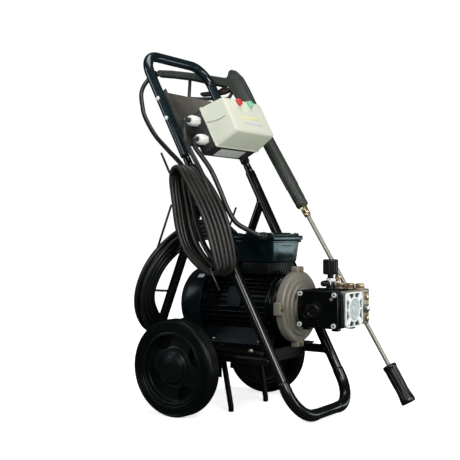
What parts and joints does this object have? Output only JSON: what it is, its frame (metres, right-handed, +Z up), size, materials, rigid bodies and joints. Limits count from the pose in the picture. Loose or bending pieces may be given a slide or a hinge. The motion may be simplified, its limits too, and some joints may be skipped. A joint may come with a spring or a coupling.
{
  "type": "pressure washer",
  "caption": "Wheeled electric high-pressure washer: tubular trolley, flanged motor and plunger pump, starter box, spray gun with lance, coiled hose and cable.",
  "frame": {"origin": "on the floor, in the middle of the bounding box seen from above", "axes": "+Z up; -Y is the front, where the pump and the foot bar are; +X is the side the gun and lance hang on"},
  "size_m": [0.4936, 0.8765, 0.9911],
  "materials": {
    "frame": "gloss black paint on bent steel tube",
    "handle": "dark teal-blue gloss paint",
    "plate": "black painted sheet steel",
    "steel": "bright drawn steel",
    "tyre": "dark grey rubber with fine circumferential ribs",
    "rim": "dark grey moulded plastic",
    "rubber": "dull black rubber",
    "motor": "gloss black painted cast aluminium",
    "core": "stacked electrical steel",
    "flange": "warm grey cast aluminium, satin",
    "box": "blue-black gloss plastic",
    "pump": "gloss black paint on a casting",
    "glass": "dark sight glass",
    "silver": "silver-white painted metal",
    "brass": "pale machined brass",
    "knob": "matte black plastic",
    "cream": "ivory moulded plastic, satin",
    "charcoal": "charcoal moulded plastic",
    "white": "off-white plastic",
    "red": "red push button",
    "green": "pale green push button",
    "cable": "dark grey-green cable sheath",
    "hose": "dark grey-green hose rubber",
    "gun": "grey-green moulded plastic",
    "trigger": "reddish-brown plastic"
  },
  "bodies": {
    "frame": {"axle": "steel", "cable_gland_lower": "white", "cable_gland_upper": "white", "contactor": "charcoal", "control_panel": "plate", "crankcase": "pump", "crankcase_cover": "pump", "fan_cover": "motor", "foot_sleeve_left": "rubber", "foot_sleeve_right": "rubber", "front_bearing": "steel", "front_bearing_cover": "silver", "front_end_shield": "motor", "gun_body": "gun", "handle_loop": "handle", "inlet_fitting": "steel", "lance_grip": "gun", "lance_holder": "plate", "lance_nut": "brass", "lance_tube": "steel", "main_frame": "frame", "motor_cable": "cable", "motor_flange": "flange", "motor_housing": "motor", "motor_platform": "plate", "oil_sight_glass": "glass", "outlet_fitting": "brass", "plunger_1": "steel", "plunger_2": "steel", "plunger_3": "steel", "power_cable": "cable", "pressure_hose": "hose", "prop_stand": "frame", "pump_manifold": "flange", "rear_bearing": "steel", "rear_end_shield": "motor", "stator_core": "core", "switch_base": "charcoal", "switch_cover": "cream", "terminal_box": "box", "terminal_lid": "box", "unloader_body": "brass", "valve_cap_1": "brass", "valve_cap_2": "brass", "valve_cap_3": "brass"},
    "wheel_left": {"tyre_left": "tyre", "wheel_disc_left": "rim", "hub_cap_left": "rim"},
    "wheel_right": {"tyre_right": "tyre", "wheel_disc_right": "rim", "hub_cap_right": "rim"},
    "drive_line": {"motor_shaft": "steel", "rotor_core": "core", "cooling_fan": "knob", "crankshaft": "steel"},
    "knob": {"regulator_knob": "knob"},
    "stop": {"stop_button": "red"},
    "start": {"start_button": "green"},
    "trigger_lever": {"trigger": "trigger"},
    "nozzle": {"nozzle_sleeve": "rubber"}
  },
  "joints": [
    {"name": "wheel_left_spin", "type": "hinge", "parent": "frame", "child": "wheel_left", "pos_m": [-0.21313, 0.05052, 0.127], "axis": [1, 0, 0], "continuous": true},
    {"name": "wheel_right_spin", "type": "hinge", "parent": "frame", "child": "wheel_right", "pos_m": [0.22227, 0.05052, 0.127], "axis": [1, 0, 0], "continuous": true},
    {"name": "motor_shaft_spin", "type": "hinge", "parent": "frame", "child": "drive_line", "pos_m": [0.00457, -0.04948, 0.2827], "axis": [0, 1, 0], "continuous": true},
    {"name": "regulator_knob_turn", "type": "hinge", "parent": "frame", "child": "knob", "pos_m": [0.09457, -0.23848, 0.385], "axis": [0, 0, 1], "range_deg": [0, 300]},
    {"name": "stop_button_press", "type": "slide", "parent": "frame", "child": "stop", "axis": [0, 0.8854, -0.4648], "range_m": [0, 0.004]},
    {"name": "start_button_press", "type": "slide", "parent": "frame", "child": "start", "axis": [0, 0.8854, -0.4648], "range_m": [0, 0.004]},
    {"name": "trigger_pull", "type": "hinge", "parent": "frame", "child": "trigger_lever", "pos_m": [0.1876, 0.1602, 0.9175], "axis": [0.9661, 0.2198, -0.1355], "range_deg": [0, 12]},
    {"name": "nozzle_sleeve_turn", "type": "hinge", "parent": "frame", "child": "nozzle", "pos_m": [0.19457, -0.42238, 0.022], "axis": [0, 0.5247, 0.8513], "range_deg": [0, 90]}
  ]
}
